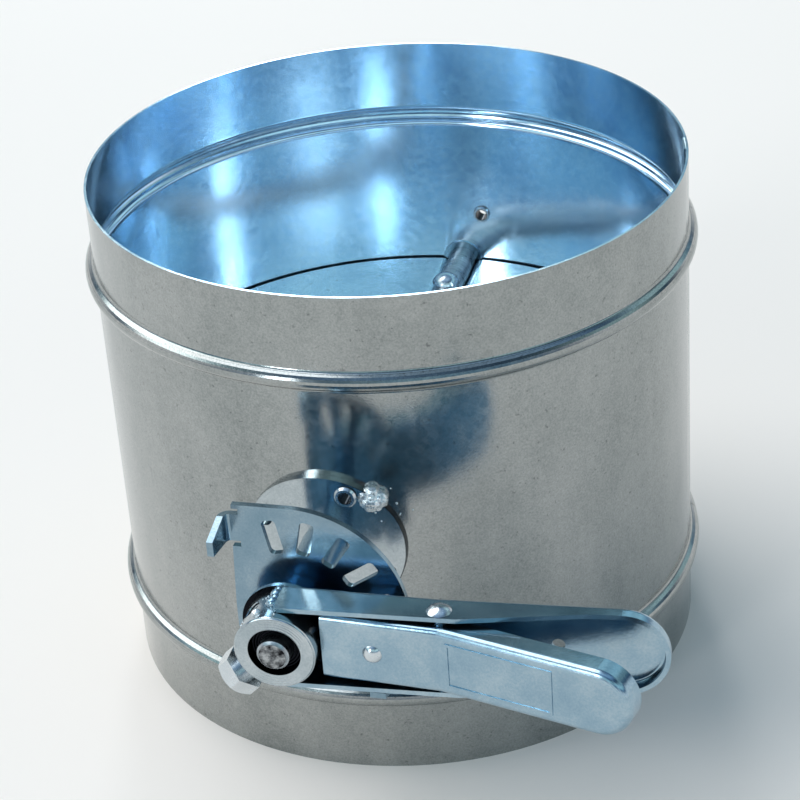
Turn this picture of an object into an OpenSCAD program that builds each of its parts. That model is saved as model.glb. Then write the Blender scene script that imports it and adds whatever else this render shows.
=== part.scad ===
// Manual damper for round sheet-metal ducts, in millimetres.
// A beaded sleeve carries a round blade on a cross shaft. A two-piece squeeze
// handle on the shaft's front end locks the blade in a slotted sector plate.
// The origin is the middle of the lower rim and Z runs up the duct. The shaft
// lies along Y, the handle is on the -Y side and points to +X when the blade
// is shut. Distances named out are measured along the shaft towards -Y.

/* [Sleeve] */
// Outside diameter of the sleeve, which slides into the duct
duct_d = 199; // [160:1:400]
// Length of the sleeve from rim to rim
duct_len = 175; // [150:1:300]
// Thickness of the sleeve's sheet
duct_wall = 0.8; // [0.5:0.1:1.2]
// Distance from each rim to the middle of its bead
bead_inset = 28.5; // [15:0.5:45]
// Width of a bead
bead_w = 8.5; // [8:0.5:12]
// How far a bead stands proud of the sleeve
bead_h = 3; // [2:0.1:3.5]
// Width of the sheet's overlap along the seam
seam_w = 9; // [5:0.5:15]
// Place of the seam round the sleeve, in degrees from +X
seam_angle = 10; // [8:1:60]

/* [Shaft and blade] */
// Diameter of the shaft
shaft_d = 10; // [8:0.5:11]
// Running clearance between the shaft and its tubes, on the radius
shaft_clear = 0.05; // [0.03:0.01:0.1]
// Thickness of the blade's sheet
blade_t = 1.2; // [0.8:0.1:2]
// Gap between the blade's edge and the overlap of the seam
blade_gap = 0.4; // [0.3:0.1:3]
// Mean radius of the lips where the groove meets the flat blade
lip_r = 2.5; // [1.5:0.1:5]
// Diameter of the blade rivets' shanks
blade_rivet_d = 5; // [3:0.5:6]
// Diameter of the blade rivets' domed heads
blade_rivet_head_d = 10; // [8:0.5:12]
// Distance of the two outer blade rivets from the blade's edge
blade_rivet_inset = 27.5; // [15:0.5:40]

/* [Flanges and tubes] */
// Diameter of the round flanges that hold the tubes
flange_d = 51.4; // [50:0.2:54]
// Thickness of the flanges
flange_t = 2.5; // [1.5:0.1:4]
// Diameter of the circle through the flange holes
flange_pcd = 42.4; // [36:0.2:44]
// Diameter of the flange holes
flange_hole_d = 5.4; // [4:0.1:6]
// Angle of the first flange hole from +X
flange_turn = 67; // [50:1:80]
// Outside diameter of the neck tube and the rear bush
tube_d = 15; // [13:0.5:18]
// How far the rear bush stands out of its flange
bush_proud = 4; // [2:0.5:10]
// Diameter of the shaft's rear washer
washer_d = 20; // [18:0.5:26]
// Thickness of the shaft's rear washer
washer_t = 1.5; // [1:0.1:3]

/* [Sector plate] */
// Gap between the sleeve and the back of the sector plate
sector_gap = 33.5; // [20:0.5:60]
// Thickness of the sector plate
sector_t = 2; // [1.5:0.1:3]
// Radius of the sector's arc round the shaft
sector_r = 35.5; // [34:0.5:45]
// How far the plate reaches past the shaft, away from the arc
sector_back = 17; // [14:0.5:20]
// How much wider the plate is at the shaft than at its arc's ends
sector_flare = 1.6; // [0.5:0.1:3]
// Number of places where the handle locks over its quarter turn
lock_places = 5; // [3:1:6]
// Distance from the sector's arc to the middle of the locking slots
slot_inset = 9.9; // [8.5:0.1:10.5]
// Length of a locking slot, towards the shaft
slot_len = 11.7; // [10:0.1:12]
// Width of a locking slot
slot_w = 4.5; // [4:0.1:5]
// Corner radius of a locking slot
slot_corner = 1.4; // [0.5:0.1:1.9]
// How far the two stop tabs stand out of the plate
tab_out = 12.5; // [9:0.5:14]
// Width of a stop tab at its root
tab_w = 9.3; // [6:0.1:10]

/* [Handle] */
// Diameter of the handle's hub
hub_d = 25; // [22:0.5:26]
// Length of the handle's hub
hub_len = 14.5; // [13:0.5:18]
// Diameter of the recess in the hub's front face
recess_d = 16.2; // [13:0.2:18]
// Depth of the recess in the hub's front face
recess_depth = 3.5; // [1:0.5:4]
// Gap between the sector plate and the rear lever
lever_gap = 7; // [5:0.5:10]
// Thickness of the rear lever's sheet
lever_t = 1.5; // [1:0.1:2]
// Length of the rear lever from the shaft to its tip
lever_len = 114.8; // [100:1:160]
// Slope of the rear lever's outer part towards the sleeve, in degrees
lever_drop = 3.6; // [0:0.1:6]
// Height of the rear lever's cheeks beside the hub
cheek_hub_h = 13.2; // [12:0.1:14]
// Height of the rear lever's cheeks at the hinge pin
cheek_pin_h = 11.3; // [10.5:0.1:12]
// Height of the rear lever's rim round its tip
cheek_tip_h = 4.8; // [3:0.1:7]
// Outer corner radius of the pressed levers
press_r = 2.4; // [2.1:0.1:3]
// Distance from the shaft to the hinge pin
pin_x = 48.5; // [46:0.5:60]
// Height of the hinge pin over the back of the rear lever
pin_h = 7; // [6.2:0.1:7.4]
// Diameter of the hinge pin
pin_d = 4; // [3:0.1:4.4]
// Diameter of the hinge pin's heads
pin_head_d = 7.6; // [6:0.1:8]

/* [Trigger] */
// Thickness of the trigger's sheet
trigger_t = 1.5; // [1:0.1:2]
// Width of the trigger
trigger_w = 22.4; // [20:0.1:23]
// Length of the trigger's reach, from the shaft to its tip
trigger_len = 108.2; // [96:0.5:112]
// Height of the trigger's face over the back of the rear lever, at the bend
trigger_h = 13.5; // [13:0.1:15]
// Slope of the trigger's inner part, in degrees
trigger_slope = 3.2; // [2:0.1:4]
// Slope of the trigger's outer part, in degrees
trigger_rise = 14.4; // [12:0.1:18]
// Depth of the trigger's side flanges
trigger_depth = 7.6; // [6:0.1:8]
// Gap between the hub and the trigger's inner end
trigger_gap = 0.7; // [0.4:0.1:2]
// Length of the raised panel on the trigger's face
panel_len = 34; // [20:1:38]
// Width of the raised panel on the trigger's face
panel_w = 15.4; // [8:0.2:17]
// Thickness of the latch's sheet
latch_t = 2; // [1.5:0.1:2.4]
// Width of the latch's prongs, along the locking slots
prong_w = 7; // [5:0.5:7.5]
// Wire of the trigger spring
spring_wire = 1.2; // [0.8:0.1:1.4]

/* [Hidden] */
$fn = 64;
// Touching round faces of one body lie this far apart
seat = 0.03;
// Free gap between parts that move past each other
free = 0.5;
shaft_z = duct_len / 2;
duct_r = duct_d / 2;
bore_r = duct_r - duct_wall;
blade_r = bore_r - duct_wall - blade_gap;
shaft_bore_d = shaft_d + 2 * shaft_clear;

// Distances along the shaft, out from the duct's middle
flange_face = duct_r + flange_t;
sector_face = duct_r + sector_gap + sector_t;
web_back = sector_face + lever_gap;
neck_end = web_back - free;
web_front = web_back + lever_t;
hub_face = web_front + hub_len;
shaft_front = hub_face + 2;
bush_end = flange_face + bush_proud;
washer_in = bush_end + 0.3;
ring_in = washer_in + washer_t + seat;
ring_t = 1;
shaft_rear = ring_in + ring_t + 3;

// Rolled bead: a crest arc and two fillets, from the bead's width and height
bead_arcs = (pow(bead_w / 2, 2) + pow(bead_h, 2)) / (2 * bead_h);
crest_r = 0.57 * bead_arcs;
fillet_r = bead_arcs - crest_r;
mid_r = duct_r - duct_wall / 2;
arc_steps = 8;
bead_bend = atan2(bead_w / 2, bead_arcs - bead_h);

// Groove pressed into the blade under the shaft
groove_r = shaft_d / 2 + 0.15 + blade_t / 2;
lip_x = sqrt(pow(groove_r, 2) + 2 * groove_r * lip_r);
lip_angle = atan2(lip_r, lip_x);

// Sector plate and latch share the slots' pitch
slot_step = 90 / (lock_places - 1);
slot_r = sector_r - slot_inset;
prong_z = slot_r * sin(slot_step / 2);
tab_bend = 1.5;
tab_mid = sector_r - 8;
relief = 2;

// Pressed levers
lever_half = hub_d / 2 + 0.1 + lever_t;
lever_bend_x = pin_x - 3.5;
// A pressed lever's outer leg is this much narrower at each side
leg_step = 0.05;
pin_out = web_back + pin_h;
ear_r = pin_h - lever_t - free;
trigger_start = hub_d / 2 + trigger_gap;
trigger_bend = [pin_x, web_back + trigger_h];
latch_rivet_x = slot_r + 3.2;
latch_rivet_d = 4;
panel_start = 3;
panel_proud = 0.3;
bolt_d = 8;
bolt_core_d = 6.8;
bolt_af = 13;
bolt_head_h = 5.3;
bolt_reach = 4.6;
hub_hole_out = web_front + bolt_core_d / 2 + 3;
spring_r = pin_d / 2 + spring_wire / 2 + 0.4;
spring_turns = 5;
spring_leg = 14;

steel = [0.74, 0.77, 0.80];
bright = [0.84, 0.87, 0.90];
dark_steel = [0.45, 0.46, 0.48];

// Stands local Z out along the shaft, with local Y up, out mm from the middle
module facing(out) {
  translate([0, -out, shaft_z]) rotate([90, 0, 0]) children();
}

// The same on the rear side of the sleeve
module behind(out) {
  mirror([0, 1, 0]) facing(out) children();
}

// Stands a flat side view of [x, out] up as a slab of this thickness
module side_view(thick) {
  translate([0, 0, shaft_z]) rotate([180, 0, 0])
    linear_extrude(thick, center = true) children();
}

// A round hole or rod along the shaft's direction
module rod(d, from, to) {
  facing(from) cylinder(d = d, h = to - from);
}

// Part of a flat ring between two angles
module ring_arc(mid_r, thick, from, to) {
  reach = 2 * (mid_r + thick);
  steps = ceil((to - from) / 45);
  wedge = [for (i = [0:steps]) let (a = from + (to - from) * i / steps) [cos(a), sin(a)] * reach];
  intersection() {
    difference() {
      circle(r = mid_r + thick / 2);
      circle(r = mid_r - thick / 2);
    }
    polygon(concat([[0, 0]], wedge));
  }
}

// Points of an arc, from one angle to another
function arc(centre, r, from, to) = [
  for (i = [0:arc_steps]) let (a = from + (to - from) * i / arc_steps) centre + r * [cos(a), sin(a)]
];

// Line of [radius, z] over a bead, off the sheet's mean line by this much
function bead_line(z, off) = concat(
  arc([mid_r + fillet_r, z - bead_w / 2], fillet_r - off, 180, 180 - bead_bend),
  arc([mid_r + bead_h - crest_r, z], crest_r + off, -bead_bend, bead_bend),
  arc([mid_r + fillet_r, z + bead_w / 2], fillet_r - off, 180 + bead_bend, 180)
);

// The whole line from rim to rim, short of both by the last number
function sleeve_line(off, short) = concat([[mid_r + off, short]], bead_line(bead_inset, off),
  bead_line(duct_len - bead_inset, off), [[mid_r + off, duct_len - short]]);

// Closed outline between two lines that run side by side
function between(a, b) = concat(a, [for (i = [len(b) - 1:-1:0]) b[i]]);

module duct_body() {
  lap_angle = seam_w / duct_r * 180 / PI;
  lap_short = 0.4;
  color(steel) difference() {
    union() {
      rotate_extrude($fn = 128)
        polygon(between(sleeve_line(duct_wall / 2, 0), sleeve_line(-duct_wall / 2, 0)));
      // The inner sheet of the overlap, with half the outer one to join them
      rotate([0, 0, seam_angle])
        rotate_extrude(angle = lap_angle, $fn = 128)
          polygon(between(sleeve_line(0, lap_short), sleeve_line(-1.5 * duct_wall, lap_short)));
    }
    rod(tube_d + 2 * seat, bore_r - 5, duct_r + 5);
    mirror([0, 1, 0]) rod(tube_d + 2 * seat, bore_r - 5, duct_r + 5);
    at_rivets() cylinder(d = flange_hole_d, h = 20, center = true);
    mirror([0, 1, 0]) at_rivets() cylinder(d = flange_hole_d, h = 20, center = true);
  }
}

// The two flange holes that hold rivets, at the sleeve's surface
module at_rivets() {
  for (a = [flange_turn, flange_turn + 180])
    facing(duct_r) rotate(a) translate([flange_pcd / 2, 0]) rotate(-a) children();
}

// A disc bent to the sleeve, with four holes and two tack welds on its edge
module saddle_flange() {
  difference() {
    intersection() {
      rod(flange_d, bore_r - 10, flange_face);
      cylinder(r = duct_r + seat + flange_t, h = duct_len);
    }
    translate([0, 0, -1]) cylinder(r = duct_r + seat, h = duct_len + 2);
    rod(tube_d + 2 * seat, bore_r, flange_face + 5);
    for (i = [0:3])
      facing(bore_r - 5) rotate(flange_turn + 90 * i)
        translate([flange_pcd / 2, 0]) cylinder(d = flange_hole_d, h = 20);
  }
  difference() {
    for (a = [flange_turn - 19, flange_turn + 161]) tack_weld(a);
    translate([0, 0, -1]) cylinder(r = duct_r + seat, h = duct_len + 2);
  }
}

// A blob of weld metal over the flange's edge, made of uneven drops
module tack_weld(a) {
  for (i = [0:4]) let (turn = a + 3 * (i - 2), across = flange_d / 2 - 2 + 1.6 * (i % 2))
    facing(0) rotate(turn) translate([across, 0, weld_out(turn)])
      sphere(r = 3 + 0.3 * (i % 3) - 0.45 * abs(i - 2), $fn = 32);
}

// Height of the sleeve's surface under the flange's edge at this angle
function weld_out(a) = sqrt(pow(duct_r, 2) - pow(flange_d / 2 * cos(a), 2)) + flange_t * 0.4;

module front_flange() {
  color(steel) saddle_flange();
}

module rear_flange() {
  color(steel) mirror([0, 1, 0]) saddle_flange();
}

// Hollow rivets: ring heads outside and rolled ends inside the sleeve
module flange_rivets() {
  x = flange_pcd / 2 * cos(flange_turn);
  rim = flange_hole_d / 2 + 0.9;
  curl = flange_hole_d / 2 + 0.5;
  seat_out = sqrt(pow(duct_r + flange_t, 2) - pow(x - rim, 2)) - duct_r + 0.1;
  seat_in = sqrt(pow(bore_r, 2) - pow(x + curl, 2)) - duct_r - 0.1;
  at_rivets() difference() {
    union() {
      translate([0, 0, seat_out]) cylinder(r1 = rim, r2 = rim - 0.6, h = 0.8);
      translate([0, 0, seat_in]) cylinder(d = flange_hole_d - 0.1, h = seat_out - seat_in);
      translate([0, 0, seat_in - 0.8]) cylinder(r1 = curl - 0.3, r2 = curl, h = 0.8);
    }
    cylinder(d = flange_hole_d - 1.2, h = 30, center = true);
  }
}

module front_flange_rivets() {
  color(bright) flange_rivets();
}

module rear_flange_rivets() {
  color(bright) mirror([0, 1, 0]) flange_rivets();
}

module neck_tube() {
  color(bright) difference() {
    rod(tube_d, bore_r, neck_end);
    rod(shaft_bore_d, bore_r - 1, neck_end + 1);
  }
}

module rear_bush() {
  color(bright) mirror([0, 1, 0]) difference() {
    rod(tube_d, blade_r + free, bush_end);
    rod(shaft_bore_d, blade_r, bush_end + 1);
  }
}

// A rounded slot, centred, long in X
module rounded_slot(len, wide, corner) {
  square([len - 2 * corner, wide], center = true);
  square([len, wide - 2 * corner], center = true);
  for (x = [-1, 1], y = [-1, 1])
    translate([x * (len / 2 - corner), y * (wide / 2 - corner)]) circle(r = corner);
}

// Half of the plate's outline, on the upper left of its line of symmetry
module sector_half() {
  heel = sector_back + sector_flare;
  intersection() {
    union() {
      intersection() {
        circle(r = sector_r, $fn = 128);
        square(sector_r);
      }
      translate([-heel + 8, -heel + 8]) circle(r = 8);
      polygon([[0, sector_r], [-sector_back, sector_r], [-sector_back - 0.6, tab_mid - tab_w / 2],
               [-heel, 0], [-heel, 8 - heel], [8 - heel, 8 - heel], [8 - heel, -heel], [0, -heel]]);
      polygon([[0, sector_r], [0, -heel], [sector_r, -heel], [sector_r, 0]]);
    }
    polygon([[-60, -60], [60, 60], [-60, 60]]);
  }
}

// Corner reliefs beside a tab, cut into the plate's left edge
module tab_reliefs() {
  for (s = [-1, 1])
    translate([-sector_back - 4, tab_mid + s * (tab_w / 2 + relief / 2) - relief / 2])
      square([4 + relief, relief]);
}

// A tab folded out of the plate's left edge
module stop_tab() {
  fold_x = -sector_back - 0.7;
  inner = fold_x - tab_bend;
  // Bend, swept along the edge
  translate([fold_x, tab_mid + tab_w / 2, tab_bend]) rotate([90, 0, 0])
    linear_extrude(tab_w) ring_arc(tab_bend + sector_t / 2, sector_t, 180, 270);
  translate([fold_x, tab_mid - tab_w / 2, -sector_t]) cube([2, tab_w, sector_t]);
  // Flat of the tab, tapered on both edges
  translate([inner, tab_mid, 0]) rotate([0, -90, 0]) linear_extrude(sector_t)
    polygon([[tab_bend, -tab_w / 2], [tab_bend, tab_w / 2],
             [tab_out, tab_w / 2 - 2.2], [tab_out, 2.2 - tab_w / 2]]);
}

module sector_plate() {
  color(bright) difference() {
    union() {
      facing(sector_face - sector_t) linear_extrude(sector_t) {
        sector_half();
        mirror([1, -1]) sector_half();
      }
      facing(sector_face) {
        stop_tab();
        mirror([1, -1, 0]) stop_tab();
      }
    }
    facing(sector_face - 3 * sector_t) linear_extrude(4 * sector_t) {
      tab_reliefs();
      mirror([1, -1]) tab_reliefs();
      for (i = [0:lock_places])
        rotate(slot_step * (i - 0.5)) translate([slot_r, 0])
          rounded_slot(slot_len, slot_w, slot_corner);
    }
    rod(tube_d + 2 * seat, duct_r, neck_end);
  }
}

module shaft() {
  chamfer = 0.8;
  color(dark_steel) difference() {
    union() {
      rod(shaft_d, -shaft_rear + chamfer, shaft_front - chamfer);
      facing(shaft_front - chamfer)
        cylinder(d1 = shaft_d, d2 = shaft_d - 2 * chamfer, h = chamfer);
      behind(shaft_rear - chamfer)
        cylinder(d1 = shaft_d, d2 = shaft_d - 2 * chamfer, h = chamfer);
    }
    at_blade_rivets() cylinder(d = blade_rivet_d + 2 * seat, h = 40, center = true);
    behind(ring_in - seat) difference() {
      cylinder(d = shaft_d + 2, h = ring_t + 2 * seat);
      cylinder(d = shaft_d - 0.6, h = ring_t + 2 * seat);
    }
  }
}

module at_blade_rivets() {
  reach = blade_r - blade_rivet_inset;
  for (y = [-reach, 0, reach]) translate([0, y, shaft_z]) children();
}

// Line of [x, z] across the blade, with its groove, off its mean line by this much
function blade_line(off) = concat([[-blade_r - 1, off]],
  arc([-lip_x, -lip_r], lip_r + off, 90, lip_angle),
  arc([0, 0], groove_r - off, 180 + lip_angle, 360 - lip_angle),
  arc([lip_x, -lip_r], lip_r + off, 180 - lip_angle, 90),
  [[blade_r + 1, off]]);

module blade() {
  color(steel) difference() {
    intersection() {
      translate([0, blade_r, shaft_z]) rotate([90, 0, 0])
        linear_extrude(2 * blade_r) polygon(between(blade_line(blade_t / 2), blade_line(-blade_t / 2)));
      translate([0, 0, shaft_z - 20]) cylinder(r = blade_r, h = 40, $fn = 128);
    }
    at_blade_rivets() cylinder(d = blade_rivet_d + 2 * seat, h = 40, center = true);
  }
}

// A low dome that stands on local z = 0
module dome(d, h) {
  r = (pow(d / 2, 2) + h * h) / (2 * h);
  intersection() {
    translate([0, 0, h - r]) sphere(r = r);
    translate([-d, -d, 0]) cube(2 * d);
  }
}

module blade_rivets() {
  top = shaft_d / 2 + seat;
  low = groove_r + blade_t / 2 + seat;
  color(bright) at_blade_rivets() {
    translate([0, 0, -low]) cylinder(d = blade_rivet_d, h = top + low);
    translate([0, 0, top]) dome(blade_rivet_head_d, 3.4);
    mirror([0, 0, 1]) translate([0, 0, low]) dome(blade_rivet_head_d - 1.5, 2.6);
  }
}

module rear_washer() {
  color(bright) behind(washer_in) difference() {
    cylinder(d = washer_d, h = washer_t);
    translate([0, 0, -1]) cylinder(d = shaft_bore_d, h = washer_t + 2);
  }
}

// Open spring ring in the shaft's rear groove, with its gap below
module retaining_ring() {
  color(dark_steel) behind(ring_in) rotate(-60)
    rotate_extrude(angle = 300)
      translate([shaft_d / 2 - 0.3 + seat, 0]) square([3, ring_t]);
}

// Places a child at a radial hole of the hub, with local Z outwards
module at_hub_hole(a) {
  facing(hub_hole_out) rotate(a) rotate([0, 90, 0]) children();
}

module handle_hub() {
  chamfer = 0.5;
  color(bright) difference() {
    union() {
      rod(hub_d, web_front, hub_face - chamfer);
      facing(hub_face - chamfer) cylinder(d1 = hub_d, d2 = hub_d - 2 * chamfer, h = chamfer);
    }
    rod(shaft_bore_d, web_front - 1, hub_face + 1);
    rod(recess_d, hub_face - recess_depth, hub_face + 1);
    at_hub_hole(135) cylinder(d = bolt_core_d, h = hub_d);
    at_hub_hole(225) cylinder(d = bolt_d + 2 * seat, h = hub_d);
  }
}

// Hexagon bolt that clamps the hub to the shaft
module clamp_bolt() {
  tip = shaft_d / 2 + seat;
  head = hub_d / 2 + bolt_reach;
  corner_d = bolt_af / cos(30);
  color(bright) at_hub_hole(225) {
    translate([0, 0, tip]) cylinder(d = bolt_d, h = head - tip);
    translate([0, 0, head]) intersection() {
      cylinder(d = corner_d, h = bolt_head_h, $fn = 6);
      cylinder(d1 = corner_d + 2 * bolt_head_h, d2 = bolt_af - 0.6, h = bolt_head_h);
    }
  }
}

// Half section of a pressed pan's outside, or with an inset of its hollow
function pan_side(half, inset, tall) = concat([[0, inset]],
  arc([half - press_r, press_r], press_r - inset, 270, 360),
  [[half - inset, tall + inset], [0, tall + inset]]);

// Straight block of that section, along local X
module pan_block(from, to, half, inset, tall) {
  side = pan_side(half, inset, tall);
  other = [for (i = [len(side) - 2:-1:1]) [-side[i][0], side[i][1]]];
  translate([from, 0, 0]) rotate([90, 0, 90]) linear_extrude(to - from)
    polygon(concat(side, other));
}

// The same with a round end about to
module pan_tip(from, to, half, inset, tall) {
  pan_block(from, to, half, inset, tall);
  translate([to, 0, 0]) rotate_extrude() polygon(pan_side(half - leg_step, inset, tall));
}

// Sets a child on the handle at [x, out], sloped outwards by this angle
module on_handle(x, out, slope) {
  translate([x, -out, shaft_z]) rotate([0, 0, -slope]) rotate([90, 0, 0]) children();
}

// Distance out of the rear lever's back face at x
function lever_out(x) = web_back - max(0, x - lever_bend_x) * tan(lever_drop);

// Two windows in the rear lever for the latch's prongs, with room to swing
module prong_windows() {
  swing = 3.2;
  for (s = [-1, 1])
    on_handle(slot_r - prong_w / 2 - swing, web_back - 1, 0)
      translate([0, s * prong_z - latch_t / 2 - 0.6, 0])
        cube([prong_w + swing + 1, latch_t + 1.2, lever_t + 2]);
}

// Weld metal that joins the start of each cheek to the hub
module cheek_welds() {
  for (s = [-1, 1], i = [0:3])
    facing(web_front + 1.2 + 2.1 * i)
      translate([-1 - 0.3 * (i % 2), s * (hub_d / 2 + 0.3), 0]) sphere(r = 1.7 + 0.2 * (i % 2), $fn = 24);
}

// The rear lever's outside, or with an inset its hollow
module lever_shape(inset) {
  run = (lever_len - lever_half - lever_bend_x) / cos(lever_drop);
  on_handle(0, web_back, 0) pan_block(0, pin_x, lever_half, inset, cheek_hub_h);
  on_handle(lever_bend_x, web_back, -lever_drop)
    pan_tip(-lever_bend_x / 2, run, lever_half - leg_step, inset, cheek_hub_h);
}

// Side view of all that lies under the rear lever's rim
module under_rim() {
  knee = pin_x + 5.5;
  low = lever_len - 23;
  past = lever_len + 5;
  polygon([
    [-past, web_back - 30], [-past, web_back + cheek_hub_h], [0, web_back + cheek_hub_h],
    [knee, lever_out(knee) + cheek_pin_h], [low, lever_out(low) + cheek_tip_h + 0.6],
    [past, lever_out(past) + cheek_tip_h], [past, web_back - 30]
  ]);
}

module rear_lever() {
  color(bright) difference() {
    intersection() {
      union() {
        difference() {
          lever_shape(0);
          lever_shape(lever_t);
        }
        facing(web_back) cylinder(r = lever_half - leg_step, h = lever_t);
        cheek_welds();
      }
      side_view(60) under_rim();
    }
    rod(shaft_bore_d, web_back - 1, web_front + 1);
    rod(hub_d + 2 * seat, web_front, hub_face);
    prong_windows();
    pin_bore();
    // Small hole in the outer part's floor
    on_handle(lever_len - 33, web_back, 0) cylinder(d = 4, h = 40, center = true);
  }
}

// Cross bore of the hinge
module pin_bore() {
  translate([pin_x, -pin_out, shaft_z]) cylinder(d = pin_d + 2 * shaft_clear, h = 60, center = true);
}

module hinge_pin() {
  grip = lever_half + seat;
  color(bright) translate([pin_x, -pin_out, shaft_z]) {
    cylinder(d = pin_d, h = 2 * grip, center = true);
    for (s = [0, 1]) mirror([0, 0, s]) translate([0, 0, grip]) dome(pin_head_d, 1.6);
  }
}

// The trigger's outside, or with an inset its hollow, open to the rear
module trigger_shape(inset) {
  run = (trigger_len - trigger_w / 2 - trigger_bend[0]) / cos(trigger_rise);
  on_handle(trigger_bend[0], trigger_bend[1], trigger_slope) mirror([0, 0, 1])
    pan_block(-pin_x, run / 2, trigger_w / 2, inset, 3 * trigger_depth);
  on_handle(trigger_bend[0], trigger_bend[1], trigger_rise) mirror([0, 0, 1])
    pan_tip(-pin_x / 2, run, trigger_w / 2 - leg_step, inset, 3 * trigger_depth);
}

// Side view of the trigger, from its square inner end and in front of its flanges' edges
module trigger_side() {
  mean = (trigger_slope + trigger_rise) / 2;
  half_bend = (trigger_rise - trigger_slope) / 2;
  knee = trigger_bend + trigger_depth / cos(half_bend) * [sin(mean), -cos(mean)];
  past = trigger_len;
  intersection() {
    polygon([
      knee, knee + past * [cos(trigger_rise), sin(trigger_rise)],
      knee + past * [0, 1], knee + past * [-1, 1],
      knee - past * [cos(trigger_slope), sin(trigger_slope)]
    ]);
    translate([trigger_start, web_back - past]) square(3 * past);
  }
}

module trigger_lever() {
  half = trigger_w / 2;
  color(bright) difference() {
    union() {
      intersection() {
        difference() {
          trigger_shape(0);
          trigger_shape(trigger_t);
        }
        side_view(60) trigger_side();
      }
      on_handle(trigger_bend[0], trigger_bend[1], trigger_rise) trigger_panel();
      // Ears round the hinge pin
      for (s = [-1, 1])
        translate([pin_x, -pin_out, shaft_z + s * (half - trigger_t / 2)])
          cylinder(r = ear_r, h = trigger_t - 4 * leg_step, center = true);
    }
    pin_bore();
    at_latch_rivet() cylinder(d = latch_rivet_d + 2 * seat, h = 4 * latch_t, center = true);
  }
}

// Plain raised frame on the trigger's face
module trigger_panel() {
  edge = 0.9;
  translate([panel_start, 0, -panel_proud]) linear_extrude(2 * panel_proud) difference() {
    translate([0, -panel_w / 2]) square([panel_len, panel_w]);
    translate([edge, edge - panel_w / 2]) square([panel_len - 2 * edge, panel_w - 2 * edge]);
  }
}

// Sets a child on the back of the trigger's inner part, with local Z outwards
module behind_trigger() {
  on_handle(trigger_bend[0], trigger_bend[1], trigger_slope)
    translate([0, 0, -trigger_t - seat]) children();
}

// Bracket riveted behind the trigger, with two prongs for the sector's slots
module latch() {
  base_x = slot_r - prong_w / 2;
  base_len = prong_w + 7;
  color(bright) difference() {
    behind_trigger() {
      translate([base_x - pin_x, -prong_z - latch_t / 2, -latch_t])
        cube([base_len, 2 * prong_z + latch_t, latch_t]);
      for (s = [-1, 1])
        translate([base_x - pin_x, s * prong_z - latch_t / 2, -trigger_h - lever_gap])
          cube([prong_w, latch_t, trigger_h + lever_gap - latch_t / 2]);
    }
    // The prongs end just clear of the plate's face
    rod(3 * sector_r, sector_face - 20, sector_face + 0.3);
    at_latch_rivet() cylinder(d = latch_rivet_d + 2 * seat, h = 4 * latch_t, center = true);
  }
}

// Places a child at the latch's rivet, on the face between latch and trigger
module at_latch_rivet() {
  behind_trigger() translate([latch_rivet_x - pin_x, 0, 0]) children();
}

module latch_rivet() {
  color(bright) at_latch_rivet() {
    translate([0, 0, -latch_t - seat]) cylinder(d = latch_rivet_d, h = latch_t + trigger_t + 3 * seat);
    translate([0, 0, trigger_t + 2 * seat]) dome(6, 1.6);
    mirror([0, 0, 1]) translate([0, 0, latch_t + seat]) dome(5.6, 1.4);
  }
}

// A wire swept through points that each carry their own outward direction
module swept_wire(path, outward, axis, r) {
  sides = 8;
  rings = len(path);
  points = [for (i = [0:rings - 1], k = [0:sides - 1])
    path[i] + r * (cos(360 * k / sides) * outward[i] + sin(360 * k / sides) * axis)];
  walls = [for (i = [0:rings - 2], k = [0:sides - 1]) let (n = (k + 1) % sides)
    [i * sides + k, (i + 1) * sides + k, (i + 1) * sides + n, i * sides + n]];
  start = [[for (k = [0:sides - 1]) k]];
  finish = [[for (k = [sides - 1:-1:0]) (rings - 1) * sides + k]];
  polyhedron(points = points, faces = concat(walls, start, finish));
}

// Tilt of a spring leg whose end rests on a flat this far from the pin
function leg_tilt(off) =
  asin((off - spring_wire / 2 - 3 * seat) / norm([spring_r, spring_leg])) - atan2(spring_r, spring_leg);

// Torsion spring round the hinge pin, with one leg on each lever
module trigger_spring() {
  pitch = spring_wire + 0.15;
  lean_in = -lever_drop - leg_tilt((pin_h - lever_t) * cos(lever_drop));
  lean_out = trigger_rise + leg_tilt((trigger_h - pin_h) * cos(trigger_rise) - trigger_t);
  // The coil starts where the inner leg leaves it and ends at the outer leg
  from = 270 + lean_in;
  to = from - 360 * spring_turns - (from - 90 - lean_out);
  steps = 16 * spring_turns;
  turn = [for (i = [0:steps]) from + (to - from) * i / steps];
  rise = [for (i = [0:steps]) pitch * spring_turns * (i / steps - 0.5)];
  dirs = [for (a = turn) [cos(a), -sin(a), 0]];
  coil = [for (i = [0:steps]) spring_r * dirs[i] + [0, 0, rise[i]]];
  inner_end = coil[0] + spring_leg * [cos(lean_in), -sin(lean_in), 0];
  outer_end = coil[steps] + spring_leg * [cos(lean_out), -sin(lean_out), 0];
  color(dark_steel) translate([pin_x, -pin_out, shaft_z])
    swept_wire(concat([inner_end], coil, [outer_end]), concat([dirs[0]], dirs, [dirs[steps]]),
               [0, 0, 1], spring_wire / 2);
}

duct_body();
front_flange();
rear_flange();
front_flange_rivets();
rear_flange_rivets();
neck_tube();
rear_bush();
sector_plate();
shaft();
blade();
blade_rivets();
rear_washer();
retaining_ring();
handle_hub();
clamp_bolt();
rear_lever();
hinge_pin();
trigger_spring();
trigger_lever();
latch();
latch_rivet();
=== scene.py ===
"""Looks of a manual damper for round ducts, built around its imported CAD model.

The sleeve stands on its lower rim at the origin, with the shaft along Y and
the handle on the -Y side. All sizes are in metres, or in millimetres times MM.
"""

import math
import random

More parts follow.
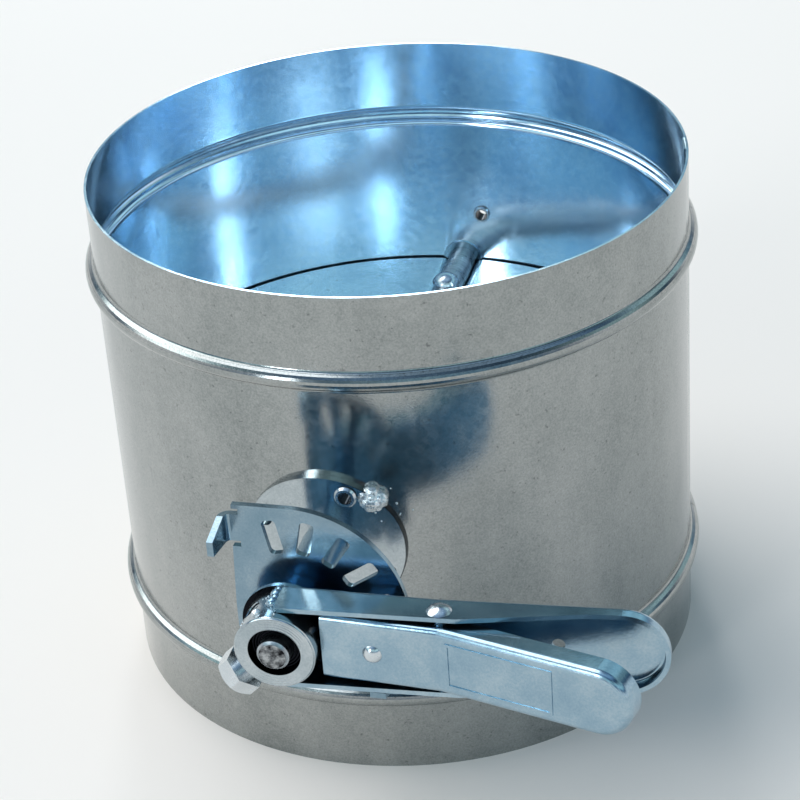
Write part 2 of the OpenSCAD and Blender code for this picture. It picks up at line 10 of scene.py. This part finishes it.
import bpy
from mathutils import Euler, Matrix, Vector


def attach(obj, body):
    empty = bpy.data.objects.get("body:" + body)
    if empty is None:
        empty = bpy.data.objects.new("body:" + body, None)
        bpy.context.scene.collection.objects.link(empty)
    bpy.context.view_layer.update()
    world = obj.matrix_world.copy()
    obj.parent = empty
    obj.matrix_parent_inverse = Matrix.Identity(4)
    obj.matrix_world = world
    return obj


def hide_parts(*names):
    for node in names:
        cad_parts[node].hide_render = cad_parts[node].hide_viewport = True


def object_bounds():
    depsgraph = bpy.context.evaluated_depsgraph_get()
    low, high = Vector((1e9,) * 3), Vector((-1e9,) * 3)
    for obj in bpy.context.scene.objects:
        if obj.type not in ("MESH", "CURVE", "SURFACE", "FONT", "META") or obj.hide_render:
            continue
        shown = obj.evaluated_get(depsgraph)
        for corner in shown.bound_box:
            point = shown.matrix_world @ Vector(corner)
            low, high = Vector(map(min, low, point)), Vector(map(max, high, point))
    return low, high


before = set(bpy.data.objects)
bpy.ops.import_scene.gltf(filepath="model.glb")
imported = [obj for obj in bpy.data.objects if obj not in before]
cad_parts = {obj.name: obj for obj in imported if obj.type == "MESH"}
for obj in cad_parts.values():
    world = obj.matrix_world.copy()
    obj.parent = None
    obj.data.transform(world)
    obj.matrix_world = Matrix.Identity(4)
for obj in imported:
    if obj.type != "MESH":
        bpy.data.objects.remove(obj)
cad_low, cad_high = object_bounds()

MM = 0.001
CENTRE = (Vector(cad_low) + Vector(cad_high)) / 2

# Sizes and places of the solids that finishes and welds follow
SHAFT_Z = 87.5 * MM
SLEEVE_R = 99.5 * MM
FLANGE_R = 25.7 * MM
FLANGE_T = 2.5 * MM
HUB_R = 12.5 * MM
RECESS_R = 8.1 * MM
LEVER_WEB = 143.5 * MM
PIN = Vector((48.5, -149.0, 87.5)) * MM
RIVET_CIRCLE_R = 21.2 * MM
RIVET_TURN = math.radians(67)
SEAM_TURN = math.radians(12.6)
SEAM_EDGE_TURN = math.radians(15.2)
SPOT_WELD_STEP = 22 * MM

# Colours of each finish, from its darkest to its lightest
SLEEVE_OUTSIDE = (0.185, 0.205, 0.205), (0.325, 0.345, 0.34), (0.455, 0.465, 0.46)
# Lighter and bluer than the outside: a painted reflection
SLEEVE_INSIDE_REFLECTION = (0.44, 0.63, 0.82), (0.66, 0.83, 0.96), (0.88, 0.96, 1.0)
BLADE_ZINC = (0.38, 0.52, 0.65), (0.54, 0.69, 0.80), (0.70, 0.82, 0.90)
FLANGE_ZINC = (0.30, 0.34, 0.36), (0.44, 0.49, 0.51), (0.58, 0.63, 0.65)
PRESSED = (0.24, 0.37, 0.47), (0.32, 0.45, 0.54), (0.46, 0.57, 0.63)
SLOTTED = (0.18, 0.28, 0.35), (0.25, 0.35, 0.42), (0.37, 0.46, 0.51)
PLATE_BACK = (0.12, 0.31, 0.52), (0.19, 0.44, 0.70), (0.32, 0.58, 0.84)
TURNED = (0.32, 0.38, 0.41), (0.44, 0.50, 0.53), (0.58, 0.63, 0.65)
RIVETS = (0.50, 0.55, 0.58), (0.74, 0.78, 0.80)
SHAFT_BAR = (0.16, 0.18, 0.19), (0.42, 0.46, 0.49), (0.66, 0.69, 0.71)
SHAFT_END = (0.01, 0.01, 0.012), (0.16, 0.17, 0.18), (0.42, 0.44, 0.45)
WIRE = (0.10, 0.10, 0.11), (0.28, 0.29, 0.31)
WELD = (0.05, 0.055, 0.06), (0.62, 0.68, 0.71), (0.90, 0.93, 0.94)
FLOOR = (0.97, 0.87, 0.80), (0.99, 0.89, 0.82)

# Colours of marks
PIT = (0.05, 0.055, 0.06, 1.0)
# Near black, painted as shade in recesses, bores and hollows
PAINTED_SHADE = (0.008, 0.009, 0.012, 1.0)
HEAT_STAIN = (0.20, 0.17, 0.14, 1.0)
SPOT_WELD = (0.50, 0.54, 0.58, 1.0)
SHEET_EDGE = (0.02, 0.02, 0.02, 1.0)
FLANGE_GAP_SHADOW = (0.02, 0.022, 0.025, 1.0)

# Low and high end of what a noise mostly gives
NOISE_SPREAD = 0.3, 0.7

# Height over the horizon and colour of the backdrop: white low down, then a cool ceiling in bands
CEILING = [
    (0.0, (0.95, 0.95, 0.95)), (0.22, (0.90, 0.93, 0.96)), (0.32, (0.05, 0.12, 0.22)),
    (0.38, (0.12, 0.28, 0.46)), (0.47, (0.64, 0.94, 1.0)), (0.66, (0.60, 0.90, 1.0)),
    (0.78, (0.04, 0.10, 0.20)), (0.90, (0.30, 0.50, 0.76)), (1.0, (0.45, 0.64, 0.86)),
]


class Nodes:
    """Short ways to build a tree of shader nodes."""

    def __init__(self, tree):
        self.tree = tree

    def add(self, kind, inputs=None, **settings):
        """Adds a node; an input is a value or another node's output."""
        made = self.tree.nodes.new(kind)
        for name, value in settings.items():
            setattr(made, name, value)
        for name, value in (inputs or {}).items():
            self.feed(made.inputs[name], value)
        return made

    def feed(self, socket, value):
        if isinstance(value, bpy.types.NodeSocket):
            self.tree.links.new(value, socket)
        else:
            socket.default_value = value

    def math(self, operation, *values):
        return self.add("ShaderNodeMath", dict(enumerate(values)), operation=operation).outputs[0]

    def vector(self, operation, *values, **named):
        inputs = {**dict(enumerate(values)), **named}
        return self.add("ShaderNodeVectorMath", inputs, operation=operation).outputs["Vector"]

    def measure(self, operation, *values):
        """A length, distance or product of vectors, as a number."""
        inputs = dict(enumerate(values))
        return self.add("ShaderNodeVectorMath", inputs, operation=operation).outputs["Value"]

    def span(self, value, low, high, start=0.0, end=1.0):
        """Maps start..end to low..high."""
        return self.add("ShaderNodeMapRange", {
            "Value": value, "From Min": start, "From Max": end, "To Min": low, "To Max": high,
        }).outputs[0]

    def spread(self, noise, low, high):
        """Maps the usual spread of a noise to low..high."""
        return self.span(noise, low, high, *NOISE_SPREAD)

    def fold(self, operation, terms):
        """Works the first two terms together, then the result and the next."""
        total = terms[0]
        for term in terms[1:]:
            total = self.math(operation, total, term)
        return total

    def sums(self, *terms):
        return self.fold("ADD", terms)

    def lesser(self, *terms):
        """The least of several 0..1 shares, so all must hold."""
        return self.fold("MINIMUM", terms)

    def greater(self, *terms):
        """The greatest of several 0..1 shares, so any may hold."""
        return self.fold("MAXIMUM", terms)

    def blend(self, share, first, second):
        mix = self.add("ShaderNodeMix", data_type="RGBA")
        for socket, value in ((0, share), (6, first), (7, second)):
            self.feed(mix.inputs[socket], value)
        return mix.outputs[2]

    def ramp(self, share, marks):
        """Blends (place, colour) marks by a 0..1 share."""
        made = self.add("ShaderNodeValToRGB", {"Fac": share})
        elements = made.color_ramp.elements
        while len(elements) < len(marks):
            elements.new(0.5)
        for element, (place, colour) in zip(elements, marks):
            element.position = place
            element.color = (*colour, 1.0)
        return made.outputs["Color"]

    def tint(self, share, *colours):
        """Blends evenly spaced colours by a 0..1 share."""
        return self.ramp(share, [(i / (len(colours) - 1), colour) for i, colour in enumerate(colours)])


class Finish(Nodes):
    """A finish of a surface, built up from nodes on Object coordinates."""

    def __init__(self, name, metallic=1.0):
        self.material = bpy.data.materials.new(name)
        self.material.use_nodes = True
        super().__init__(self.material.node_tree)
        self.surface = self.tree.nodes["Principled BSDF"]
        self.surface.inputs["Metallic"].default_value = metallic
        where = self.add("ShaderNodeTexCoord")
        self.place = where.outputs["Object"]
        self.normal = where.outputs["Normal"]

    def stretched(self, scale):
        return self.add("ShaderNodeMapping", {"Vector": self.place, "Scale": scale}).outputs[0]

    def noise(self, scale, detail=3.0, coarse=0.5, along=(1, 1, 1)):
        """Cloudy noise of this many cells a metre."""
        return self.add("ShaderNodeTexNoise", {
            "Vector": self.stretched(along), "Scale": scale, "Detail": detail, "Roughness": coarse,
        }).outputs["Fac"]

    def crystals(self, scale):
        """One random value for each crystal of a zinc coat."""
        colour = self.add("ShaderNodeTexVoronoi", {"Vector": self.place, "Scale": scale}).outputs["Color"]
        return self.add("ShaderNodeSeparateColor", {"Color": colour}).outputs["Red"]

    def facing(self, direction):
        """How far a face looks this way, -1 to 1."""
        return self.measure("DOT_PRODUCT", self.normal, direction)

    def axis(self, name):
        return self.add("ShaderNodeSeparateXYZ", {"Vector": self.place}).outputs[name]

    def off_shaft(self):
        """The way out from the shaft's axis, square to it."""
        off = self.vector("SUBTRACT", self.place, (0.0, 0.0, SHAFT_Z))
        return self.vector("MULTIPLY", off, (1.0, 0.0, 1.0))

    def from_shaft(self):
        """Distance from the shaft's axis."""
        return self.measure("LENGTH", self.off_shaft())

    def across_line(self, turn):
        """Distance from the upright plane through the sleeve's axis at this turn."""
        return self.measure("DOT_PRODUCT", self.place, (-math.sin(turn), math.cos(turn), 0.0))

    def colour(self, value):
        self.feed(self.surface.inputs["Base Color"], value)

    def colour_so_far(self):
        return self.surface.inputs["Base Color"].links[0].from_socket

    def roughness(self, value):
        self.feed(self.surface.inputs["Roughness"], value)

    def bumps(self, *layers):
        """Stacks (height, depth in metres) layers."""
        normal = None
        for height, depth in layers:
            inputs = {"Height": height, "Distance": depth, "Strength": 1.0}
            if normal is not None:
                inputs["Normal"] = normal
            normal = self.add("ShaderNodeBump", inputs).outputs["Normal"]
        self.feed(self.surface.inputs["Normal"], normal)


def zinc_coat(name, colours):
    """Hot-dipped zinc: fine grain, pits and a rolled waviness. Also gives the share of light grain."""
    zinc = Finish(name)
    crystals = zinc.crystals(420)
    bloom = zinc.noise(22, detail=4, coarse=0.55)
    specks = zinc.noise(1500, detail=2, coarse=0.6)
    streaks = zinc.noise(60, detail=3, along=(1, 1, 0.25))
    share = zinc.sums(zinc.span(crystals, 0.0, 0.12), zinc.spread(bloom, 0.0, 0.25),
                      zinc.spread(streaks, 0.0, 0.2), zinc.spread(specks, 0.08, 0.47))
    pits = zinc.span(zinc.noise(520, detail=2, coarse=0.65), 0.0, 0.45, 0.66, 0.74)
    zinc.colour(zinc.blend(pits, zinc.tint(share, *colours), PIT))
    zinc.roughness(zinc.sums(zinc.span(crystals, 0.11, 0.15), zinc.spread(bloom, 0.0, 0.07)))
    waves = zinc.noise(9, detail=1, along=(1, 1, 0.45))
    ripples = zinc.noise(70, detail=2, along=(1, 1, 0.6))
    zinc.bumps((waves, 1.4 * MM), (ripples, 0.11 * MM), (specks, 0.010 * MM))
    return zinc, share


def seam_marks(zinc, skin, outer):
    """Adds the lapped seam's spot welds to the skin, and the edge of its outer sheet."""
    height = zinc.math("PINGPONG", zinc.axis("Z"), SPOT_WELD_STEP / 2)
    flat = zinc.add("ShaderNodeCombineXYZ", {"X": zinc.across_line(SEAM_TURN), "Y": height}).outputs[0]
    away = zinc.measure("LENGTH", flat)
    this_side = zinc.span(zinc.axis("X"), 0.0, 1.0, 0.0, 10 * MM)
    stain = zinc.lesser(this_side, zinc.span(away, 0.5, 0.0, 1.6 * MM, 5.0 * MM))
    spot = zinc.lesser(this_side, zinc.span(away, 0.7, 0.0, 1.4 * MM, 2.0 * MM))
    skin = zinc.blend(stain, skin, HEAT_STAIN)
    skin = zinc.blend(spot, skin, SPOT_WELD)

    off = zinc.math("ABSOLUTE", zinc.across_line(SEAM_EDGE_TURN))
    line = zinc.lesser(this_side, outer, zinc.span(off, 1.0, 0.0, 0.15 * MM, 0.3 * MM))
    return zinc.blend(line, skin, SHEET_EDGE)


def sleeve_zinc():
    """The sleeve is dull outside; inside it is painted lighter and bluer, a painted reflection of the blue
    ceiling.
    """
    zinc, share = zinc_coat("sleeve_zinc", SLEEVE_OUTSIDE)
    # Painted reflection: inside faces get the lighter, bluer colours
    inner = zinc.span(zinc.facing(zinc.stretched((1, 1, 0))), 1.0, 0.0, -0.02, 0.02)
    outer = zinc.span(inner, 1.0, 0.0)
    skin = zinc.blend(inner, zinc.colour_so_far(), zinc.tint(share, *SLEEVE_INSIDE_REFLECTION))
    zinc.colour(seam_marks(zinc, skin, outer))
    return zinc.material


def flat_zinc():
    """Clean zinc coat of the blade."""
    return zinc_coat("flat_zinc", BLADE_ZINC)[0].material


def flange_zinc():
    """The same coat, with a painted shadow along its edge on the +X side, where the flange stands off the
    sleeve.
    """
    zinc = zinc_coat("flange_zinc", FLANGE_ZINC)[0]
    # Painted shadow: a dark rim on the +X side of the flange's edge
    away = zinc.sums(zinc.from_shaft(), zinc.span(zinc.noise(90), -0.25 * MM, 0.25 * MM))
    edge = zinc.lesser(zinc.span(away, 0.0, 0.96, FLANGE_R - 0.35 * MM, FLANGE_R - 0.1 * MM),
                       zinc.span(zinc.axis("X"), 0.15, 1.0, 6 * MM, 16 * MM))
    zinc.colour(zinc.blend(edge, zinc.colour_so_far(), FLANGE_GAP_SHADOW))
    return zinc.material


def zinc_plate(name, colours, back=None, shade_mask=None, rings_per_metre=0):
    """Bright blue-white plating on pressed steel, with faint handling marks, and bluer behind."""
    plate = Finish(name)
    haze = plate.noise(60, detail=4, coarse=0.6)
    grain = plate.noise(1400, detail=2)
    share = plate.sums(plate.spread(haze, 0.0, 0.75), plate.span(grain, 0.0, 0.25, 0.35, 0.65))
    plating = plate.tint(share, *colours)
    if back:
        behind = plate.span(plate.facing((0.0, 1.0, 0.0)), 0.0, 1.0, 0.4, 0.6)
        plating = plate.blend(behind, plating, plate.tint(share, *back))
    # Painted shade: near black where the mask says shade falls
    if shade_mask:
        plating = plate.blend(shade_mask(plate), plating, PAINTED_SHADE)
    plate.colour(plating)
    plate.roughness(plate.sums(plate.spread(haze, 0.12, 0.22), plate.span(grain, 0.0, 0.05)))
    layers = [(plate.noise(45, detail=1), 0.25 * MM), (plate.noise(700, detail=2), 0.02 * MM)]
    if rings_per_metre:
        turns = plate.math("MULTIPLY", plate.from_shaft(), 2 * math.pi * rings_per_metre)
        layers.append((plate.math("SINE", turns), 0.05 * MM))
    plate.bumps(*layers)
    return plate.material


def recess_shade(plate):
    """Painted shade: black in the hub's recess."""
    return plate.span(plate.from_shaft(), 1.0, 0.0, RECESS_R, RECESS_R + 0.1 * MM)


def rivet_bore_shade(steel):
    """Painted shade in the bores of the two hollow rivets, which lie opposite each other."""
    centre = RIVET_CIRCLE_R * Vector((math.cos(RIVET_TURN), 0.0, math.sin(RIVET_TURN)))
    off = steel.off_shaft()
    side = steel.math("SIGN", steel.measure("DOT_PRODUCT", off, centre))
    away = steel.measure("DISTANCE", steel.vector("SCALE", off, Scale=side), centre)
    return steel.span(away, 1.0, 0.0, 2.15 * MM, 2.3 * MM)


def lever_root_shade(plate):
    """Painted shade: black in the lever's hollow, round the hub."""
    front = plate.span(plate.facing((0.0, -1.0, 0.0)), 0.0, 1.0, 0.4, 0.6)
    deep = plate.span(plate.axis("Y"), 0.0, 1.0, -LEVER_WEB - 0.8 * MM, -LEVER_WEB - 0.3 * MM)
    near = plate.span(plate.axis("X"), 1.0, 0.0, 24 * MM, 34 * MM)
    return plate.lesser(front, deep, near)


def rivet_steel(name, shade_mask=None):
    """Bright plated steel of the bolt, rivets and pin heads."""
    steel = Finish(name)
    haze = steel.noise(220, detail=4, coarse=0.65)
    plating = steel.tint(haze, *RIVETS)
    # Painted shade: near black where the mask says shade falls
    if shade_mask:
        plating = steel.blend(shade_mask(steel), plating, PAINTED_SHADE)
    steel.colour(plating)
    steel.roughness(steel.spread(haze, 0.14, 0.30))
    steel.bumps((steel.noise(600, detail=2), 0.03 * MM))
    return steel.material


def turned_steel():
    """Bare shaft steel: turned lines, oil and a stained end."""
    steel = Finish("turned_steel")
    lines = steel.noise(260, detail=2, along=(0.4, 6, 0.4))
    stain = steel.noise(240, detail=5, coarse=0.7)
    share = steel.sums(steel.spread(lines, 0.0, 0.5), steel.spread(stain, 0.0, 0.5))
    blotch = steel.noise(420, detail=3, coarse=0.6)
    end = steel.tint(steel.span(blotch, 0.0, 1.0, 0.35, 0.65), *SHAFT_END)
    front = steel.span(steel.facing((0.0, -1.0, 0.0)), 0.0, 1.0, 0.85, 0.95)
    steel.colour(steel.blend(front, steel.tint(share, *SHAFT_BAR), end))
    steel.roughness(steel.spread(stain, 0.22, 0.42))
    steel.bumps((lines, 0.02 * MM), (stain, 0.04 * MM))
    return steel.material


def spring_steel():
    """Dark oiled wire."""
    wire = Finish("spring_steel")
    haze = wire.noise(300, detail=3)
    wire.colour(wire.tint(haze, *WIRE))
    wire.roughness(wire.spread(haze, 0.25, 0.42))
    wire.bumps((haze, 0.02 * MM))
    return wire.material


def weld_metal():
    """Weld metal: bright lumps, dark pits and scale between them."""
    weld = Finish("weld_metal")
    scale = weld.noise(650, detail=5, coarse=0.7)
    haze = weld.noise(180, detail=3)
    share = weld.sums(weld.span(scale, 0.0, 0.8, 0.32, 0.52), weld.spread(haze, -0.05, 0.35))
    weld.colour(weld.tint(share, *WELD))
    weld.roughness(weld.span(scale, 0.5, 0.2, 0.35, 0.6))
    weld.bumps((scale, 0.25 * MM), (weld.noise(1800, detail=2), 0.05 * MM))
    return weld.material


def dress(finish, *nodes):
    """Gives CAD nodes a finish."""
    for name in nodes:
        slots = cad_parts[name].data.materials
        slots.clear()
        slots.append(finish)


def use(piece):
    """Selects one piece alone and makes it the active one."""
    bpy.ops.object.select_all(action="DESELECT")
    piece.select_set(True)
    bpy.context.view_layer.objects.active = piece


def drop(place, radius, rounds=3):
    """One round drop of molten metal."""
    bpy.ops.object.select_all(action="DESELECT")
    bpy.ops.mesh.primitive_ico_sphere_add(subdivisions=rounds, radius=radius, location=place)
    return bpy.context.object


def joined(pieces):
    """Makes one piece of several."""
    use(pieces[0])
    for piece in pieces:
        piece.select_set(True)
    bpy.ops.object.join()
    bpy.ops.object.transform_apply(location=True, rotation=True, scale=True)
    return bpy.context.object


def add_modifier(piece, kind, **settings):
    """Adds a modifier and applies it at once."""
    use(piece)
    made = piece.modifiers.new(kind.lower(), kind)
    for name, value in settings.items():
        setattr(made, name, value)
    bpy.ops.object.modifier_apply(modifier=made.name)


def bored(piece, **core):
    """Cuts a round core out of a piece."""
    bpy.ops.object.select_all(action="DESELECT")
    bpy.ops.mesh.primitive_cylinder_add(**core)
    cutter = bpy.context.object
    add_modifier(piece, "BOOLEAN", operation="DIFFERENCE", object=cutter)
    bpy.data.objects.remove(cutter)


def cloud(name, size):
    """A cloudy texture that knobs are raised by."""
    clouds = bpy.data.textures.new(name, "CLOUDS")
    clouds.noise_scale = size
    clouds.noise_depth = 1
    return clouds


def melted(drops, lumps, pits):
    """Melts (place, radius) drops into one lump with a knobbly skin."""
    lump = joined([drop(place, radius) for place, radius in drops])
    add_modifier(lump, "REMESH", mode="VOXEL", voxel_size=0.22 * MM)
    for texture, depth in ((lumps, 0.8 * MM), (pits, 0.3 * MM)):
        add_modifier(lump, "DISPLACE", texture=texture, texture_coords="LOCAL",
                     strength=depth, mid_level=0.45)
    return lump


def by_shaft(angle, radius, out):
    """A place round the shaft, by angle from +X, radius and distance out."""
    return Vector((radius * math.cos(angle), -out, SHAFT_Z + radius * math.sin(angle)))


def face_out(angle, across, rise=0.0):
    """Distance out of the sleeve's face, or of one that lies a rise over it, at a place round the shaft."""
    return math.sqrt((SLEEVE_R + rise) ** 2 - (across * math.cos(angle)) ** 2)


def tack_weld(start, chance, lumps, pits):
    """A blob of weld over the flange's edge, with spatter round it."""
    count, step = 5, 3
    drops = []
    for i in range(count):
        from_middle = i - count // 2
        angle = math.radians(start + step * from_middle)
        across = FLANGE_R + (-2.0 + 1.6 * (i % 2)) * MM
        radius = (3.25 + 0.3 * (i % 3) - 0.45 * abs(from_middle)) * MM
        drops.append((by_shaft(angle, across, face_out(angle, FLANGE_R) + 0.4 * FLANGE_T), radius))
    blob = melted(drops, lumps, pits)

    # Cut away what would reach through the sleeve
    bored(blob, vertices=256, radius=SLEEVE_R - 0.3 * MM, depth=0.2, location=(0, 0, SHAFT_Z))

    dots = [blob]
    for i in range(11):
        angle = math.radians(start + chance.uniform(-26, 26))
        across = FLANGE_R + chance.uniform(-5.5, 6.5) * MM
        rise = FLANGE_T if across < FLANGE_R else 0.0
        place = by_shaft(angle, across, face_out(angle, across, rise))
        dots.append(drop(place, chance.uniform(0.22, 0.45) * MM, 2))
    return joined(dots)


def hub_weld(chance, lumps, pits):
    """The weld that joins the lever to the hub, behind and above it."""
    drops = []

    # Round the hub's root
    for i in range(11):
        angle = math.radians(72 + 8.5 * i)
        place = by_shaft(angle, HUB_R + 0.5 * MM, LEVER_WEB + chance.uniform(0.6, 1.3) * MM)
        drops.append((place, chance.uniform(1.2, 1.8) * MM))

    # Out along both cheeks
    for side in (-1, 1):
        for i in range(4):
            place = (-1.0 - 0.3 * (i % 2)) * MM, -LEVER_WEB - (1.2 + 2.1 * i) * MM, SHAFT_Z + side * 12.8 * MM
            drops.append((place, (2.0 + 0.2 * (i % 2)) * MM))

    # Over the top of the hub
    for i in range(12):
        angle = math.radians(chance.uniform(88, 117))
        out = LEVER_WEB + (1.5 + 0.85 * i) * MM
        drops.append((by_shaft(angle, HUB_R - 0.2 * MM, out), chance.uniform(0.9, 1.6) * MM))
    lump = melted(drops, lumps, pits)

    # Bored out where the hub is
    bored(lump, vertices=128, radius=HUB_R - 0.4 * MM, depth=0.06,
          location=(0, -LEVER_WEB, SHAFT_Z), rotation=(math.pi / 2, 0, 0))

    dots = [lump]
    for i in range(12):
        angle = math.radians(chance.uniform(84, 150))
        out = LEVER_WEB + chance.uniform(3.0, 13.5) * MM
        dots.append(drop(by_shaft(angle, HUB_R, out), chance.uniform(0.2, 0.4) * MM, 2))
    return joined(dots)


def mirrored(piece):
    """A copy of a piece on the far side of the sleeve."""
    use(piece)
    bpy.ops.object.duplicate(linked=False)
    copy = bpy.context.object
    bpy.ops.transform.resize(value=(1, -1, 1), center_override=(0, 0, 0))
    bpy.ops.object.transform_apply(location=True, rotation=True, scale=True)
    return copy


def finished(piece, name, body, finish, smooth=60):
    """Names a new piece, turns its faces out, gives it its finish and its body."""
    use(piece)
    bpy.ops.object.mode_set(mode="EDIT")
    bpy.ops.mesh.select_all(action="SELECT")
    bpy.ops.mesh.normals_make_consistent(inside=False)
    bpy.ops.object.mode_set(mode="OBJECT")
    bpy.ops.object.shade_smooth_by_angle(angle=math.radians(smooth))
    piece.name = name
    piece.data.materials.clear()
    piece.data.materials.append(finish)
    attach(piece, body)


def welds():
    """The two tack welds of each flange, and the weld between lever and hub."""
    chance = random.Random(7)
    lumps = cloud("weld_lumps", 1.5 * MM)
    pits = cloud("weld_pits", 0.5 * MM)
    metal = weld_metal()
    for i, start in enumerate((48, 228)):
        blob = tack_weld(start, chance, lumps, pits)
        far = mirrored(blob)
        finished(blob, "front_tack_weld_%d" % (i + 1), "casing", metal)
        finished(far, "rear_tack_weld_%d" % (i + 1), "casing", metal)
    finished(hub_weld(chance, lumps, pits), "hub_weld", "blade_and_handle", metal)


def select_open_edges():
    """Selects the open edges of the piece in edit mode."""
    bpy.ops.mesh.select_all(action="DESELECT")
    bpy.ops.mesh.select_mode(type="EDGE")
    bpy.ops.mesh.select_non_manifold()


def close_end():
    """Fills the open end of the piece in edit mode."""
    select_open_edges()
    bpy.ops.mesh.edge_face_add()


def split_spring(finish):
    """Parts the trigger spring at the coil's end, so its outer leg turns with the trigger."""
    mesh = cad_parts["trigger_spring"].data.copy()
    coil = bpy.data.objects.new("trigger_spring_coil", mesh)
    bpy.context.scene.collection.objects.link(coil)
    use(coil)
    bpy.ops.object.mode_set(mode="EDIT")
    bpy.ops.mesh.select_all(action="SELECT")
    bpy.ops.mesh.remove_doubles(threshold=0.001 * MM)
    bpy.ops.mesh.customdata_custom_splitnormals_clear()
    bpy.ops.mesh.select_all(action="DESELECT")
    bpy.ops.object.mode_set(mode="OBJECT")

    # The outer leg is above the shaft, and reaches past the coil
    coil_reach = 4.5 * MM
    for face in mesh.polygons:
        reach = math.hypot(face.center.x - PIN.x, face.center.y - PIN.y)
        face.select = reach > coil_reach and face.center.z > SHAFT_Z
    bpy.ops.object.mode_set(mode="EDIT")
    bpy.ops.mesh.separate(type="SELECTED")
    close_end()
    bpy.ops.object.mode_set(mode="OBJECT")
    leg = next(piece for piece in bpy.context.selected_objects if piece != coil)

    # A thinner arc runs on from the leg inside the coil and fills the joint as the leg turns
    use(leg)
    bpy.ops.object.mode_set(mode="EDIT")
    select_open_edges()
    bpy.ops.transform.translate(value=(0.06 * MM, -0.02 * MM, 0))
    bpy.ops.mesh.extrude_edges_move()
    bpy.ops.transform.resize(value=(0.93, 0.93, 0.93))
    bpy.ops.mesh.spin(steps=4, angle=math.radians(18), center=PIN, axis=(0, 0, 1))
    close_end()
    bpy.ops.object.mode_set(mode="OBJECT")

    finished(coil, "trigger_spring_coil", "blade_and_handle", finish, smooth=50)
    finished(leg, "trigger_spring_leg", "trigger", finish, smooth=50)
    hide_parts("trigger_spring")


def pale_floor():
    """A wide, plain, pale floor."""
    bpy.ops.mesh.primitive_plane_add(size=60, location=(0, 0, cad_low[2]))
    floor = bpy.context.object
    floor.name = "floor"
    paint = Finish("floor_paint", metallic=0.0)
    paint.colour(paint.tint(paint.noise(3, detail=2), *FLOOR))
    paint.roughness(0.7)
    floor.data.materials.append(paint.material)


def backdrop():
    """A world that is white behind the object, with an uneven, cool ceiling, as a real room has."""
    world = bpy.data.worlds.new("studio")
    bpy.context.scene.world = world
    world.use_nodes = True
    world.node_tree.nodes.clear()
    room = Nodes(world.node_tree)
    direction = room.add("ShaderNodeTexCoord").outputs["Generated"]
    height = room.add("ShaderNodeSeparateXYZ", {0: direction}).outputs["Z"]

    patches = room.add("ShaderNodeTexNoise", {"Vector": direction, "Scale": 2.2, "Detail": 1.0})
    uneven = room.span(patches.outputs["Fac"], 0.45, 1.0, 0.38, 0.56)
    near_horizon = room.span(height, 1.0, 0.0, 0.25, 0.45)
    level = room.greater(uneven, near_horizon)

    # Full strength where it is seen or mirrored, and a little less as a light
    rays = room.add("ShaderNodeLightPath").outputs
    seen = room.greater(rays["Is Camera Ray"], rays["Is Glossy Ray"], rays["Is Transmission Ray"])
    strength = room.math("MULTIPLY", level, room.span(seen, 0.8, 1.0))

    sky = room.add("ShaderNodeBackground", {"Color": room.ramp(height, CEILING), "Strength": strength})
    room.add("ShaderNodeOutputWorld", {"Surface": sky.outputs[0]})


def lamp(name, kind, power, colour, direction):
    """A lamp that shines in this direction."""
    data = bpy.data.lights.new(name, kind)
    data.energy = power
    data.color = colour
    made = bpy.data.objects.new(name, data)
    bpy.context.scene.collection.objects.link(made)
    made.rotation_euler = Vector(direction).to_track_quat("-Z", "Y").to_euler()
    return made


def softbox(name, place, size, power, colour):
    """An area lamp that faces the middle of the object."""
    box = lamp(name, "AREA", power, colour, CENTRE - Vector(place))
    box.location = place
    box.data.shape = "RECTANGLE"
    box.data.size, box.data.size_y = size


def studio_lights():
    """A broad soft light from above, and two strip lights for streaks in the metal."""
    overhead = lamp("overhead", "SUN", 1.87, (1.0, 0.99, 0.97), (0.72, -0.25, -1.0))
    overhead.data.angle = math.radians(58)
    softbox("back", (-0.6, 1.9, 1.2), (0.35, 0.9), 8, (0.85, 0.94, 1.0))
    softbox("side", (-0.9, -1.7, 1.15), (0.3, 0.8), 8, (0.90, 0.96, 1.0))


def photo_camera():
    """The photograph's viewpoint, closed in on the damper."""
    place = Vector((0.2007, -0.7074, 0.5071))
    target = Vector((-0.001, 0.0, 0.082))
    roll = math.radians(-4.2)
    data = bpy.data.cameras.new("camera")
    data.sensor_width = 36
    data.lens = 109.5
    camera = bpy.data.objects.new("camera", data)
    bpy.context.scene.collection.objects.link(camera)
    camera.location = place
    look = (target - place).to_track_quat("-Z", "Y")
    camera.rotation_euler = (look.to_matrix() @ Euler((0, 0, roll)).to_matrix()).to_euler()
    bpy.context.scene.camera = camera


bpy.ops.object.select_all(action="DESELECT")
photo_camera()
pale_floor()
backdrop()
studio_lights()

wire = spring_steel()
dress(sleeve_zinc(), "duct_body")
dress(flange_zinc(), "front_flange", "rear_flange")
dress(flat_zinc(), "blade")
dress(zinc_plate("zinc_plate", PRESSED), "neck_tube", "rear_bush", "rear_washer", "trigger_lever", "latch")
dress(zinc_plate("slotted_plate", SLOTTED, back=PLATE_BACK), "sector_plate")
dress(zinc_plate("lever_plate", PRESSED, back=PLATE_BACK, shade_mask=lever_root_shade), "rear_lever")
dress(zinc_plate("hub_plate", TURNED, shade_mask=recess_shade, rings_per_metre=1200), "handle_hub")
dress(rivet_steel("rivet_steel"), "blade_rivets", "clamp_bolt", "hinge_pin", "latch_rivet")
dress(rivet_steel("hollow_rivet_steel", rivet_bore_shade), "front_flange_rivets", "rear_flange_rivets")
dress(turned_steel(), "shaft")
dress(wire, "retaining_ring")
split_spring(wire)
welds()

bpy.context.scene.view_settings.view_transform = "Standard"
